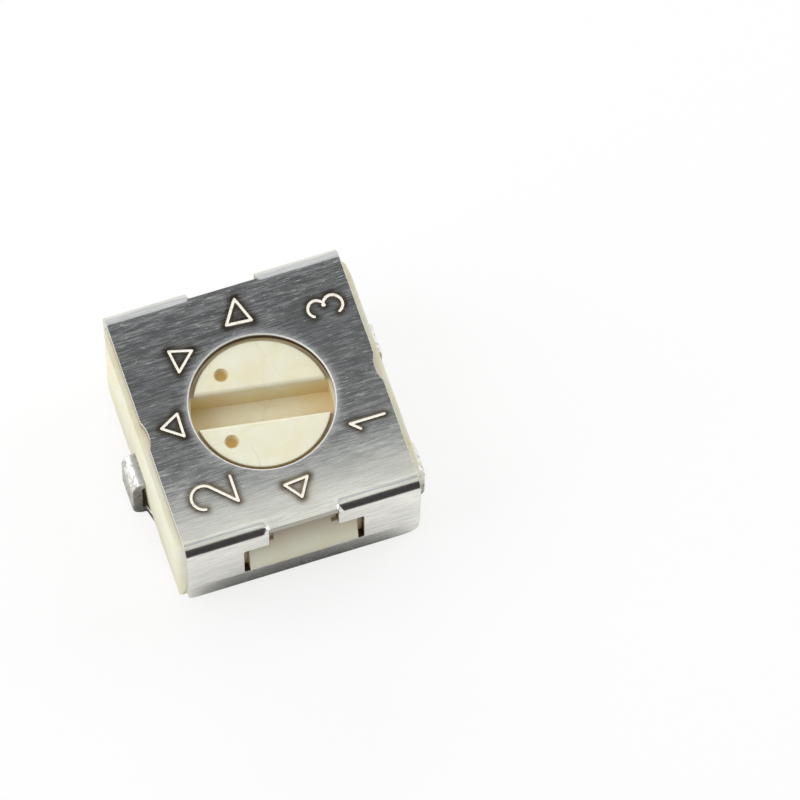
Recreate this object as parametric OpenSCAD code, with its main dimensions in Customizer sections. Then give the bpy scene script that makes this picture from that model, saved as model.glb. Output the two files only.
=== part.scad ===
// Sealed single-turn surface-mount trimmer potentiometer with J-hook terminals.
// X runs along the folded front edge, Y to the back, Z up from the solder pads.
// The wiper terminal is on the -X side, the two end terminals are on the +X side.

/* [Envelope] */
// Depth over the two folded cover skirts
body_d = 4.5; // [4.2:0.05:5]
// Height from the solder pads to the top of the cover
body_h = 2.5; // [2.46:0.01:2.7]
// Gap between the solder pads and the moulded underside
standoff = 0.1; // [0.06:0.01:0.14]

/* [Cover] */
// Width of the cover plate
cover_w = 4.08; // [3.9:0.02:4.2]
// Thickness of the stainless cover sheet
sheet_t = 0.15; // [0.12:0.01:0.18]
// Outside radius of the fold between plate and skirt
fold_r = 0.25; // [0.22:0.01:0.32]
// Diameter of the window over the rotor
window_d = 2.44; // [2.4:0.02:2.6]
// Height of the upright part of a skirt, from the top of the cover
skirt_h = 1.45; // [1.35:0.01:1.55]
// Length of the skirt strip that leans in under the catch
crimp_len = 0.6; // [0.45:0.05:0.7]
// Amount by which each skirt end narrows towards the bottom
skirt_taper = 0.03; // [0.02:0.01:0.1]
// Radius of the lower corners of a skirt
skirt_corner_r = 0.2; // [0.1:0.02:0.3]
// Width of the slot that the catch sits in
catch_slot_w = 2.08; // [1.9:0.02:2.3]
// Height of the slot that the catch sits in
catch_slot_h = 0.84; // [0.7:0.02:0.9]
// Width of the relief that cuts the fold above the slot
relief_w = 1.2; // [1:0.02:1.5]
// Angle round the fold, from the plate, at which the relief starts
relief_angle = 57; // [45:1:70]
// Radius of the shallow locating notch in each side of the plate
notch_r = 0.6; // [0.4:0.05:0.8]
// Depth of the shallow locating notch in each side of the plate
notch_depth = 0.06; // [0.03:0.01:0.1]

/* [Housing] */
// Width of the moulded housing
housing_w = 4.28; // [4.22:0.02:4.5]
// Clearance between the cover skirts and the housing
cover_fit = 0.01; // [0.005:0.005:0.02]
// Amount by which each side wall narrows below the parting line
side_taper = 0.04; // [0.03:0.01:0.12]
// Amount by which the front and back walls narrow below the crimp
flank_taper = 0.12; // [0.08:0.01:0.16]
// Radius of the lower edges of the side walls
side_edge_r = 0.14; // [0.08:0.01:0.2]
// Radius of the lower edges of the front and back walls
flank_edge_r = 0.24; // [0.14:0.02:0.3]
// Radius of the upright corners of the housing
corner_r = 0.3; // [0.2:0.02:0.4]
// Play between the catch and the edges of its slot in the cover
catch_play = 0.1; // [0.06:0.01:0.14]
// Depth by which the catch slopes back towards its top
catch_slope = 0.15; // [0.12:0.01:0.18]
// Depth of the recesses that the hooks fold into
pocket_depth = 0.2; // [0.16:0.01:0.24]
// Width of the gap round a folded hook in its recess
pocket_margin = 0.25; // [0.15:0.01:0.3]
// Radius of the round gate recess in the underside
gate_r = 0.52; // [0.4:0.02:0.6]
// Depth of the round gate recess in the underside
gate_depth = 0.08; // [0.04:0.01:0.12]
// Radius of the nub left in the gate recess
gate_nub_r = 0.13; // [0.08:0.01:0.2]
// Height of the nub left in the gate recess
gate_nub_h = 0.04; // [0.02:0.01:0.04]
// Width of the shallow tab beside the gate recess
gate_tab_w = 0.26; // [0.2:0.02:0.3]
// Length of the shallow tab beyond the edge of the gate recess
gate_tab_l = 0.13; // [0.08:0.01:0.16]
// Radius of the two ejector marks between the end hooks
ejector_r = 0.27; // [0.2:0.01:0.3]
// Distance between the centres of the two ejector marks
ejector_pitch = 0.65; // [0.62:0.01:0.7]
// Depth of the ejector marks
mark_depth = 0.03; // [0.02:0.01:0.05]

/* [Rotor] */
// Depth of the rotor face below the top of the cover
rotor_recess = 0.12; // [0.1:0.01:0.16]
// Gap between the rotor boss and the window of the cover
window_gap = 0.085; // [0.06:0.005:0.12]
// Radius of the rotor flange that the cover holds down
flange_r = 1.5; // [1.46:0.01:1.55]
// Thickness of the rotor flange
flange_h = 0.52; // [0.52:0.01:0.56]
// Free play between the flange and the underside of the cover
axial_play = 0.03; // [0.02:0.005:0.05]
// Running clearance between the rotor and the housing
run_fit = 0.03; // [0.02:0.005:0.04]
// Width of the screwdriver slot
slot_w = 0.6; // [0.4:0.02:0.7]
// Depth of the screwdriver slot
slot_depth = 0.53; // [0.4:0.01:0.53]
// Length by which each slot end runs past the edge of the boss
slot_overrun = 0.06; // [0.02:0.01:0.1]
// Angle of the slot from the X axis, as it was left
rest_angle = -9.3; // [-90:0.1:90]
// Diameter of the two pointer dimples
dimple_d = 0.24; // [0.16:0.01:0.3]
// Depth of the two pointer dimples
dimple_depth = 0.08; // [0.04:0.01:0.12]
// Distance of the pointer dimples from the rotor's cross axis
dimple_x = 0.6; // [0.5:0.01:0.65]
// Distance of the pointer dimples from the slot's centre line
dimple_y = 0.61; // [0.55:0.01:0.65]
// Radius of the hub under the rotor
hub_r = 0.77; // [0.72:0.01:0.8]
// Height of the hub and of the stop lug on it
hub_h = 0.12; // [0.1:0.01:0.13]
// Angle that the stop lug spans
lug_angle = 40; // [30:5:50]
// Total turn between the stops, in degrees
travel = 210; // [180:5:240]
// Angle left between the lug and the stop block at each end of the turn
stop_play = 2; // [1:0.5:3]
// Length by which the stop block reaches below the lug
stop_overrun = 0.06; // [0.04:0.01:0.08]

/* [Seal] */
// Cross-section diameter of the O-ring
seal_d = 0.34; // [0.3:0.01:0.36]
// Gap round and under the O-ring in its groove
seal_gap = 0.015; // [0.01:0.005:0.02]
// Gap between the O-ring and the flange above it
seal_top_gap = 0.045; // [0.03:0.005:0.06]

/* [Resistive element] */
// Wall of the housing in front of and behind the substrate
end_wall = 0.34; // [0.3:0.01:0.4]
// Wall of the housing beside the substrate
side_wall = 0.37; // [0.34:0.01:0.42]
// Thickness of the alumina substrate
substrate_t = 0.3; // [0.25:0.01:0.35]
// Corner bevel of the alumina substrate
substrate_bevel = 0.25; // [0.15:0.01:0.35]
// Thickness of a fired film
film_t = 0.02; // [0.015:0.005:0.025]
// Gap between the resistive track and the wall of the wiper's chamber
track_rim = 0.1; // [0.08:0.01:0.13]
// Width of the resistive track
track_w = 0.3; // [0.24:0.02:0.34]
// Radius of the collector film in the middle
collector_r = 0.36; // [0.28:0.02:0.4]
// Radius of the plated hole under the collector
via_r = 0.1; // [0.06:0.01:0.14]
// Width of the conductor strip under the substrate
strip_w = 0.5; // [0.3:0.02:0.7]
// Radius of the chamber that the wiper sweeps
chamber_r = 1.2; // [1.18:0.01:1.24]
// Height of the chamber that the wiper sweeps
chamber_h = 0.45; // [0.4:0.01:0.48]

/* [Wiper] */
// Thickness of the contact spring
spring_t = 0.06; // [0.05:0.01:0.07]
// Radius of the seat of the contact spring
spring_seat_r = 0.62; // [0.56:0.01:0.68]
// Radius of the hole in the seat of the contact spring
spring_hole_r = 0.34; // [0.28:0.02:0.38]
// Width of one contact finger
finger_w = 0.14; // [0.1:0.01:0.16]
// Distance between the centre lines of the two track fingers
finger_pitch = 0.34; // [0.3:0.02:0.4]
// Length of the flat root of a finger, before it slopes down
finger_root = 0.07; // [0.04:0.01:0.1]
// Gap between the fingers and the films they ride on
contact_gap = 0.015; // [0.01:0.005:0.02]

/* [Terminals] */
// Thickness of the terminal strip
lead_t = 0.18; // [0.16:0.01:0.2]
// Outside radius of the bends in a terminal
lead_bend_r = 0.24; // [0.22:0.01:0.28]
// Width of the wiper terminal's foot
wiper_foot_w = 1.2; // [1:0.02:1.4]
// Width of the wiper terminal's leg
wiper_leg_w = 0.6; // [0.5:0.02:0.9]
// Distance of the wiper terminal from the middle of its side, towards the back
wiper_shift = 0.05; // [0:0.01:0.08]
// Length of the wiper terminal's foot, from the housing wall
wiper_foot_l = 0.69; // [0.55:0.01:0.74]
// Width of an end terminal's foot
end_foot_w = 0.74; // [0.6:0.02:0.84]
// Width of an end terminal's leg
end_leg_w = 0.56; // [0.4:0.02:0.6]
// Length of an end terminal's foot, from the housing wall
end_foot_l = 0.67; // [0.55:0.01:0.72]
// Wall between the chamber of the wiper and the inner ends of the terminals
lap_wall = 0.1; // [0.06:0.01:0.14]
// Distance between the centres of the two end terminals
end_pitch = 2.3; // [2.2:0.02:2.4]
// Length over which a foot narrows to its leg, inside the line of the wall
foot_shoulder = 0.08; // [0.04:0.01:0.12]

/* [Hidden] */
$fn = 96;

// How far a cutting solid runs past the faces that it cuts
over = 0.2;

// Heights, from the pads up
cover_under_z = body_h - sheet_t;
rotor_top_z = body_h - rotor_recess;
flange_top_z = cover_under_z - axial_play;
flange_low_z = flange_top_z - flange_h;
ledge_z = flange_low_z - seal_top_gap - seal_d - seal_gap;
substrate_z = ledge_z - chamber_h;
substrate_low_z = substrate_z - substrate_t;
lead_low_z = substrate_z + film_t;
lead_top_z = lead_low_z + lead_t;
seal_z = ledge_z + seal_gap + seal_d / 2;
neck_low_z = ledge_z + axial_play;
hub_low_z = neck_low_z - hub_h;
stop_low_z = hub_low_z - stop_overrun;
spring_top_z = hub_low_z;
spring_low_z = spring_top_z - spring_t;
contact_z = lead_low_z + contact_gap;
crimp_z = body_h - skirt_h;
skirt_low_z = crimp_z - crimp_len;
catch_top_z = crimp_z + catch_slot_h;
pocket_z = standoff + pocket_depth;

// Half widths
housing_half_w = housing_w / 2;
housing_half_d = body_d / 2 - sheet_t - cover_fit;
lead_outer_x = housing_half_w + lead_bend_r;
substrate_half_w = housing_half_w - side_wall - film_t;
substrate_half_l = housing_half_d - end_wall;
crimp_angle = atan(flank_taper / (crimp_z - standoff));

// Radii inside the housing
bore_r = flange_r + run_fit;
boss_r = window_d / 2 - window_gap;
neck_r = bore_r - seal_d - 2 * seal_gap;
slot_end_r = boss_r + slot_overrun;
stop_in_r = hub_r + 2 * run_fit;
lug_out_r = chamber_r - 2 * run_fit;
seat_mid_r = (spring_seat_r + spring_hole_r) / 2;
track_r = chamber_r - track_rim - track_w / 2;

// Stops: the lug on the rotor and the block in the housing share the rest of the turn
block_angle = 360 - travel - lug_angle - 2 * stop_play;
track_angle = travel + lug_angle / 2;

// A block along Y with upright upper sides that narrow below part_z to rounded bottom edges
module tapered_block(length, half_w, taper, top_z, part_z, low_z, edge_r) {
    drop = part_z - low_z;
    lean = atan(taper / drop);
    mid_x = half_w - taper + taper * edge_r / drop - edge_r / cos(lean);
    side_x = mid_x + edge_r * cos(lean);
    side_z = low_z + edge_r - edge_r * sin(lean);
    along_y(length) polygon([
        [-half_w, top_z], [half_w, top_z], [half_w, part_z], [side_x, side_z],
        [mid_x, low_z], [-mid_x, low_z], [-side_x, side_z], [-half_w, part_z]
    ]);
    for (side = [-1, 1]) {
        along_y(length) translate([side * mid_x, low_z + edge_r]) circle(r = edge_r);
    }
}

// Stands a flat XZ outline up and centres its length on Y
module along_y(length) {
    translate([0, length / 2, 0]) rotate([90, 0, 0]) linear_extrude(height = length) children();
}

// Stands a flat YZ outline up and centres its length on X
module along_x(length) {
    rotate([90, 0, 90]) linear_extrude(height = length, center = true) children();
}

// A quarter of a ring, in the quadrant of +X and +Y
module quarter_ring(out_r, in_r) {
    intersection() {
        difference() {
            circle(r = out_r);
            circle(r = in_r);
        }
        square(out_r + over);
    }
}

// A flat sector that spans an angle and is centred on +X
module sector(radius, angle) {
    reach = 2 * radius;
    half = angle / 2;
    steps = ceil(angle / 60);
    intersection() {
        circle(r = radius);
        polygon(concat(
            [[0, 0]],
            [for (i = [0:steps]) reach * [cos(-half + i * angle / steps), sin(-half + i * angle / steps)]]
        ));
    }
}

module rounded_rectangle(size_x, size_y, radius) {
    square([size_x - 2 * radius, size_y], center = true);
    square([size_x, size_y - 2 * radius], center = true);
    for (sx = [-1, 1], sy = [-1, 1]) {
        translate([sx * (size_x / 2 - radius), sy * (size_y / 2 - radius)]) circle(r = radius);
    }
}

module bevelled_rectangle(hx, hy, bevel) {
    polygon([
        [hx - bevel, -hy], [hx, -hy + bevel], [hx, hy - bevel], [hx - bevel, hy],
        [-hx + bevel, hy], [-hx, hy - bevel], [-hx, -hy + bevel], [-hx + bevel, -hy]
    ]);
}

// A flat outline with two rounded upper corners
module fold_outline(half_w, top_z, low_z, radius) {
    translate([-half_w, low_z]) square([2 * half_w, top_z - radius - low_z]);
    translate([-half_w + radius, low_z]) square([2 * (half_w - radius), top_z - low_z]);
    for (side = [-1, 1]) {
        translate([side * (half_w - radius), top_z - radius]) circle(r = radius);
    }
}

// Section of the cover down to the line where the skirts start to lean in
module cover_section() {
    difference() {
        fold_outline(body_d / 2, body_h, crimp_z, fold_r);
        fold_outline(body_d / 2 - sheet_t, cover_under_z, crimp_z - over, fold_r - sheet_t);
    }
}

// Section of the strip that leans in, and of the bend above it, for the skirt on +Y
module crimp_section() {
    translate([body_d / 2 - sheet_t, crimp_z]) {
        intersection() {
            circle(r = sheet_t);
            translate([0, -sheet_t]) square([sheet_t, 2 * sheet_t]);
        }
        rotate(-crimp_angle) translate([0, -crimp_len]) square([sheet_t, crimp_len]);
    }
}

// Section of the cut that takes the fold away above a catch, square to the sheet where it starts
module relief_cut() {
    reach = fold_r + over;
    translate([body_d / 2 - fold_r, body_h - fold_r]) polygon([
        [0, 0], reach * [sin(relief_angle), cos(relief_angle)], [reach, 0],
        [reach, catch_top_z - over - body_h + fold_r], [0, catch_top_z - over - body_h + fold_r]
    ]);
}

module cover() {
    color([0.62, 0.63, 0.64]) difference() {
        intersection() {
            union() {
                along_x(cover_w) cover_section();
                along_x(cover_w) crimp_section();
                mirror([0, 1, 0]) along_x(cover_w) crimp_section();
            }
            tapered_block(
                body_d + over, cover_w / 2, skirt_taper, body_h, body_h - fold_r, skirt_low_z, skirt_corner_r
            );
        }
        translate([0, 0, cover_under_z - over]) cylinder(d = window_d, h = sheet_t + 2 * over);
        for (side = [-1, 1]) {
            mirror([0, side > 0 ? 0 : 1, 0]) along_x(relief_w) relief_cut();
            translate([side * (cover_w / 2 + notch_r - notch_depth), 0, cover_under_z - over])
                cylinder(r = notch_r, h = sheet_t + 2 * over);
        }
        translate([-catch_slot_w / 2, -body_d / 2 - over, crimp_z])
            cube([catch_slot_w, body_d + 2 * over, catch_slot_h]);
    }
}

// The moulded block before anything is cut out of it
module housing_block() {
    intersection() {
        translate([0, 0, standoff]) linear_extrude(height = cover_under_z - standoff)
            rounded_rectangle(housing_w, 2 * housing_half_d, corner_r);
        tapered_block(body_d, housing_half_w, side_taper, cover_under_z, lead_low_z, standoff, side_edge_r);
        rotate([0, 0, 90]) tapered_block(
            housing_w, housing_half_d, flank_taper, cover_under_z, crimp_z, standoff, flank_edge_r
        );
        along_x(housing_w)
            fold_outline(housing_half_d, cover_under_z, standoff, fold_r - sheet_t + cover_fit);
    }
}

// One catch: a ramp that the skirt slides over, with a narrower upper part in the relief
module catch_ramp() {
    out_y = body_d / 2;
    root_y = housing_half_d - over;
    low_z = crimp_z + cover_fit;
    mid_z = catch_top_z - catch_play / 2;
    top_z = body_h - fold_r;
    mid_y = out_y - catch_slope * (mid_z - low_z) / (top_z - low_z);
    top_y = out_y - catch_slope;
    along_x(catch_slot_w - 2 * catch_play)
        polygon([[root_y, low_z], [out_y, low_z], [mid_y, mid_z], [root_y, mid_z]]);
    along_x(relief_w - 2 * catch_play)
        polygon([[root_y, low_z], [out_y, low_z], [top_y, top_z], [root_y, top_z]]);
}

module substrate_pocket() {
    translate([0, 0, substrate_low_z]) linear_extrude(height = substrate_t + film_t)
        bevelled_rectangle(substrate_half_w + film_t, substrate_half_l, substrate_bevel);
    translate([-substrate_half_w - film_t, -strip_w / 2, substrate_low_z - film_t])
        cube([substrate_half_w + film_t + collector_r, strip_w, film_t]);
}

// Recesses for the hooks in the underside, and the moulding marks
module underside_cuts() {
    wiper_pocket_l = wiper_foot_l + pocket_margin;
    end_pocket_l = end_foot_l + pocket_margin;
    wiper_pocket_w = wiper_foot_w + 2 * pocket_margin;
    end_pocket_w = end_pitch + end_foot_w + 2 * pocket_margin;
    translate([-housing_half_w - over, -wiper_pocket_w / 2, standoff - over])
        cube([wiper_pocket_l + over, wiper_pocket_w, pocket_depth + over]);
    translate([housing_half_w - end_pocket_l, -end_pocket_w / 2, standoff - over])
        cube([end_pocket_l + over, end_pocket_w, pocket_depth + over]);
    difference() {
        translate([0, 0, standoff - over]) cylinder(r = gate_r, h = gate_depth + over);
        translate([0, 0, standoff + gate_depth - gate_nub_h]) cylinder(r = gate_nub_r, h = gate_depth);
    }
    translate([0, -gate_r - gate_tab_l, standoff - over])
        cube([gate_tab_w, gate_r, mark_depth + over]);
    for (side = [-1, 1]) {
        translate([housing_half_w - end_pocket_l / 2, side * ejector_pitch / 2, pocket_z - over])
            cylinder(r = ejector_r, h = mark_depth + over);
    }
}

module housing() {
    color([0.93, 0.91, 0.82]) difference() {
        union() {
            housing_block();
            catch_ramp();
            mirror([0, 1, 0]) catch_ramp();
        }
        translate([0, 0, ledge_z]) cylinder(r = bore_r, h = body_h);
        difference() {
            translate([0, 0, substrate_z]) cylinder(r = chamber_r, h = body_h);
            translate([0, 0, stop_low_z]) linear_extrude(height = ledge_z - stop_low_z) difference() {
                sector(chamber_r + over, block_angle);
                circle(r = stop_in_r);
            }
        }
        substrate_pocket();
        for (place = terminal_places()) {
            lead_strip(place);
        }
        underside_cuts();
    }
}

module rotor() {
    color([0.94, 0.92, 0.84]) rotate([0, 0, rest_angle]) difference() {
        union() {
            translate([0, 0, flange_top_z]) cylinder(r = boss_r, h = rotor_top_z - flange_top_z);
            translate([0, 0, flange_low_z]) cylinder(r = flange_r, h = flange_h);
            translate([0, 0, neck_low_z]) cylinder(r = neck_r, h = flange_low_z - neck_low_z);
            translate([0, 0, hub_low_z]) cylinder(r = hub_r, h = hub_h);
            translate([0, 0, hub_low_z]) linear_extrude(height = hub_h)
                rotate(180) sector(lug_out_r, lug_angle);
        }
        translate([0, 0, rotor_top_z - slot_depth]) linear_extrude(height = slot_depth + over)
            intersection() {
                circle(r = slot_end_r);
                square([2 * slot_end_r + over, slot_w], center = true);
            }
        for (side = [-1, 1]) {
            translate([-dimple_x, side * dimple_y, rotor_top_z - dimple_depth])
                cylinder(d = dimple_d, h = dimple_depth + over);
        }
    }
}

module o_ring() {
    color([0.75, 0.35, 0.2]) rotate_extrude()
        translate([neck_r + seal_gap + seal_d / 2, seal_z]) circle(d = seal_d, $fn = 48);
}

// One contact finger: a strip that leaves the seat, slopes down and ends in a flat toe
module finger(reach) {
    along_y(finger_w) polygon([
        [0, spring_top_z], [0, spring_low_z],
        [finger_root, spring_low_z], [reach, contact_z],
        [reach + spring_t, contact_z], [reach + spring_t, contact_z + spring_t],
        [finger_root, spring_top_z]
    ]);
}

// The contact spring: a seat under the rotor, two fingers on the track and one in the middle
module wiper() {
    color([0.83, 0.7, 0.35]) rotate([0, 0, rest_angle + 180]) {
        difference() {
            translate([0, 0, spring_low_z]) cylinder(r = spring_seat_r, h = spring_t);
            translate([0, 0, spring_low_z - over]) cylinder(r = spring_hole_r, h = spring_t + 2 * over);
        }
        for (side = [-1, 1]) {
            translate([seat_mid_r, side * finger_pitch / 2, 0]) finger(track_r - seat_mid_r);
        }
        mirror([1, 0, 0]) translate([-seat_mid_r, 0, 0]) finger(seat_mid_r);
    }
}

module substrate() {
    color([0.95, 0.95, 0.93]) difference() {
        translate([0, 0, substrate_low_z]) linear_extrude(height = substrate_t)
            bevelled_rectangle(substrate_half_w, substrate_half_l, substrate_bevel);
        translate([0, 0, substrate_low_z - over])
            cylinder(r = via_r, h = substrate_t + 2 * over);
    }
}

module resistive_track() {
    color([0.12, 0.12, 0.13]) translate([0, 0, substrate_z]) linear_extrude(height = film_t)
        difference() {
            rotate(180) sector(track_r + track_w / 2, track_angle);
            circle(r = track_r - track_w / 2);
        }
}

// Middle contact film, its plated hole and the strip under the substrate to the wiper terminal
module collector() {
    edge_x = -substrate_half_w - film_t;
    color([0.8, 0.8, 0.78]) {
        translate([0, 0, substrate_z]) cylinder(r = collector_r, h = film_t);
        translate([0, 0, substrate_low_z - film_t])
            cylinder(r = via_r, h = substrate_t + 2 * film_t);
        translate([edge_x, -strip_w / 2, substrate_low_z - film_t])
            cube([substrate_half_w + film_t + via_r, strip_w, film_t]);
        translate([edge_x, -strip_w / 2, substrate_low_z - film_t])
            cube([film_t, strip_w, substrate_t + 2 * film_t]);
        translate([edge_x, -strip_w / 2, substrate_z])
            cube([substrate_half_w + film_t - lead_in_x(wiper_shift, wiper_leg_w), strip_w, film_t]);
    }
}

// Film that joins one end of the track to the terminal on side 1 or -1 of the X axis
module end_pad(side) {
    end_angle = 180 - track_angle / 2;
    out_r = track_r + track_w / 2;
    in_r = track_r - track_w / 2;
    in_x = lead_in_x(end_pitch / 2, end_leg_w);
    near_y = end_pitch / 2 - end_leg_w / 2;
    far_y = end_pitch / 2 + end_leg_w / 2;
    color([0.8, 0.8, 0.78]) translate([0, 0, substrate_z]) linear_extrude(height = film_t)
        intersection() {
            mirror([0, side > 0 ? 0 : 1]) polygon([
                in_r * [cos(end_angle), sin(end_angle)],
                [in_x, near_y],
                [substrate_half_w, near_y],
                [substrate_half_w, far_y],
                [in_x, far_y],
                out_r * [cos(end_angle), sin(end_angle)]
            ]);
            bevelled_rectangle(substrate_half_w, substrate_half_l, substrate_bevel);
        }
}

module end_pad_1() {
    end_pad(-1);
}

module end_pad_3() {
    end_pad(1);
}

// Distance of a terminal's inner end from the Y axis, outside the chamber that the wiper sweeps
function lead_in_x(y, leg_w) = sqrt(pow(chamber_r + lap_wall, 2) - pow(max(abs(y) - leg_w / 2, 0), 2));

// Side of the body, centre on Y, foot width, leg width and foot length of each terminal
function terminal_places() = [
    [1, -end_pitch / 2, end_foot_w, end_leg_w, end_foot_l],
    [-1, wiper_shift, wiper_foot_w, wiper_leg_w, wiper_foot_l],
    [1, end_pitch / 2, end_foot_w, end_leg_w, end_foot_l]
];

// The straight strip that lies on the substrate and leaves through the wall
module lead_strip(place) {
    in_x = lead_in_x(place[1], place[3]);
    mirror([place[0] > 0 ? 0 : 1, 0, 0])
        translate([in_x, place[1] - place[3] / 2, lead_low_z])
            cube([housing_half_w - in_x, place[3], lead_t]);
}

// Side view of a terminal from the wall down to the tip of its foot, for the +X side
module hook_outline(foot_l) {
    translate([housing_half_w - lead_t, lead_low_z]) square(lead_t);
    translate([housing_half_w, lead_top_z - lead_bend_r]) quarter_ring(lead_bend_r, lead_bend_r - lead_t);
    translate([lead_outer_x - lead_t, lead_bend_r]) square([lead_t, lead_top_z - 2 * lead_bend_r]);
    translate([housing_half_w, lead_bend_r]) mirror([0, 1]) quarter_ring(lead_bend_r, lead_bend_r - lead_t);
    translate([housing_half_w - foot_l, 0]) square([foot_l, lead_t]);
}

// Plan of a terminal's foot, which is wider than its leg, for the +X side
module foot_plan(foot_w, leg_w, foot_l) {
    polygon([
        [housing_half_w - foot_l, -foot_w / 2], [housing_half_w - foot_shoulder, -foot_w / 2],
        [housing_half_w, -leg_w / 2], [housing_half_w, leg_w / 2],
        [housing_half_w - foot_shoulder, foot_w / 2], [housing_half_w - foot_l, foot_w / 2]
    ]);
}

module terminal(index) {
    place = terminal_places()[index];
    color([0.82, 0.83, 0.82]) {
        lead_strip(place);
        mirror([place[0] > 0 ? 0 : 1, 0, 0]) translate([0, place[1], 0]) {
            along_y(place[3]) hook_outline(place[4]);
            linear_extrude(height = lead_t) foot_plan(place[2], place[3], place[4]);
        }
    }
}

module terminal_1() {
    terminal(0);
}

module terminal_2() {
    terminal(1);
}

module terminal_3() {
    terminal(2);
}

housing();
cover();
rotor();
o_ring();
wiper();
substrate();
resistive_track();
collector();
end_pad_1();
end_pad_3();
terminal_1();
terminal_2();
terminal_3();
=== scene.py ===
import math

import bmesh
import bpy
import numpy as np
from bpy.props import FloatProperty, FloatVectorProperty, IntProperty, PointerProperty
from mathutils import Matrix, Vector
from mathutils.geometry import delaunay_2d_cdt


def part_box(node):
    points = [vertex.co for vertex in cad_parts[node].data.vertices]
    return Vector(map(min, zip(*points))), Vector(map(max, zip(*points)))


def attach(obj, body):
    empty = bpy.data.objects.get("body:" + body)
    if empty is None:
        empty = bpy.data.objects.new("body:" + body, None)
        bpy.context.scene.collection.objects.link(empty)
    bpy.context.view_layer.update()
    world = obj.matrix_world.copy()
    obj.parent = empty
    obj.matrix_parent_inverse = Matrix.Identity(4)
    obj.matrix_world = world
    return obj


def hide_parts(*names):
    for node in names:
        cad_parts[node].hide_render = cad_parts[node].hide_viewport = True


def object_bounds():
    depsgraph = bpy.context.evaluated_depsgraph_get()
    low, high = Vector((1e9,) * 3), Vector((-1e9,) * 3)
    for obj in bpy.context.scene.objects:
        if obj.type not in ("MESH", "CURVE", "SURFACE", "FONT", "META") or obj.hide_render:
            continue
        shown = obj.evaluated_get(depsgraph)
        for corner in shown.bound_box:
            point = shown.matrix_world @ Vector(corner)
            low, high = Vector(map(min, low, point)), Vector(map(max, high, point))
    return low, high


bl_info = {
    "name": "Trimmer potentiometer",
    "version": (1, 0, 0),
    "blender": (4, 5, 0),
    "location": "View3D > Sidebar > Trimmer",
    "description": "Sealed trimmer with a folded steel cover, a slotted rotor and J-hook terminals",
    "category": "Add Mesh",
}

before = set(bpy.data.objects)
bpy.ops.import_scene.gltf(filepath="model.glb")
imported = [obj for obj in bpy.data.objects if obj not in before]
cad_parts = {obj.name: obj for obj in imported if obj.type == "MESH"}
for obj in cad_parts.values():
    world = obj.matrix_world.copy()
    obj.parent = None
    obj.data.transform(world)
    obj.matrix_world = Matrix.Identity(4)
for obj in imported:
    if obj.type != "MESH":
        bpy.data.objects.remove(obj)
CAD_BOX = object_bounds()

MM = 0.001
BASE = "base"
ROTOR = "rotor_set"
COVER_LOW, COVER_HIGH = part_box("cover")
HOUSING_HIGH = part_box("housing")[1]


def length(title, text, size):
    """A size in metres that is written here in millimetres."""
    return FloatProperty(name=title, description=text, default=size * MM, unit="LENGTH", precision=6)


def angle(title, text, degrees):
    """An angle that is written here in degrees."""
    return FloatProperty(name=title, description=text, default=math.radians(degrees), subtype="ANGLE")


def tint(title, text, colour):
    """A colour in linear light."""
    return FloatVectorProperty(name=title, description=text, default=colour, subtype="COLOR", min=0, max=1)


class CoverSettings(bpy.types.PropertyGroup):
    """Sizes of the folded steel cover"""
    width: length("Plate width", "Width of the plate between its sheared sides", 4.08)
    depth: length("Depth", "Depth over the two skirts", (COVER_HIGH.y - COVER_LOW.y) / MM)
    top: length("Top", "Height of the plate above the pads", COVER_HIGH.z / MM)
    sheet: length("Sheet", "Thickness of the sheet", 0.15)
    fold: length("Fold radius", "Outside radius of the folds", 0.25)
    skirt: length("Skirt height", "Height of the upright part of a skirt, from the top", 1.45)
    crimp: length("Crimp length", "Length of the strip that leans in", 0.6)
    crimp_angle: angle("Crimp angle", "Angle by which the crimped strip leans in", 7.2)
    taper: length("Skirt taper", "Amount by which each skirt end narrows", 0.03)
    window: length("Window", "Diameter of the window over the rotor", 2.44)
    slot_width: length("Catch slot width", "Width of the slot that the catch sits in", 2.08)
    slot_height: length("Catch slot height", "Height of the slot that the catch sits in", 0.84)
    relief: length("Relief width", "Width of the cut through the fold above the slot", 1.2)
    relief_angle: angle("Relief angle", "Angle round the front fold where its relief starts", 57)
    back_relief_angle: angle("Back relief angle", "Angle round the back fold where its relief starts", 17)
    relief_blend: length("Relief blend", "Width over which the fold runs out into the flat tongue", 0.1)
    notch_radius: length("Notch radius", "Radius of the locating notch in each side", 0.6)
    notch_depth: length("Notch depth", "Depth of the locating notch in each side", 0.06)
    setback: length("Setback", "Distance by which the back fold stands further out than the front one", 0.1)
    edge: length("Edge rounding", "Rounding of the sheared edges", 0.013)
    rim: length("Window rim", "Rounding of the window's bright rim", 0.024)
    roll: length("Die roll", "Depth by which the punched rim of the window dips", 0.009)
    roll_width: length("Die roll width", "Width of the dip round the window", 0.13)


class MarkSettings(bpy.types.PropertyGroup):
    """Sizes of the laser-cut marks on the plate"""
    line: length("Line width", "Width of a laser line", 0.044)
    groove: length("Line depth", "Depth of a laser line", 0.006)
    heat: length("Heat width", "Reach of the heat tint beside a line", 0.075)
    triangles: FloatProperty(name="Triangles", description="Scale of the position triangles", default=0.94,
                             min=0.5, max=1.2)
    wiper_digit: length("Wiper digit height", "Height of the number beside the wiper terminal", 0.74)
    end_digit: length("End digit height", "Height of the numbers beside the end terminals", 0.6)


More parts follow.
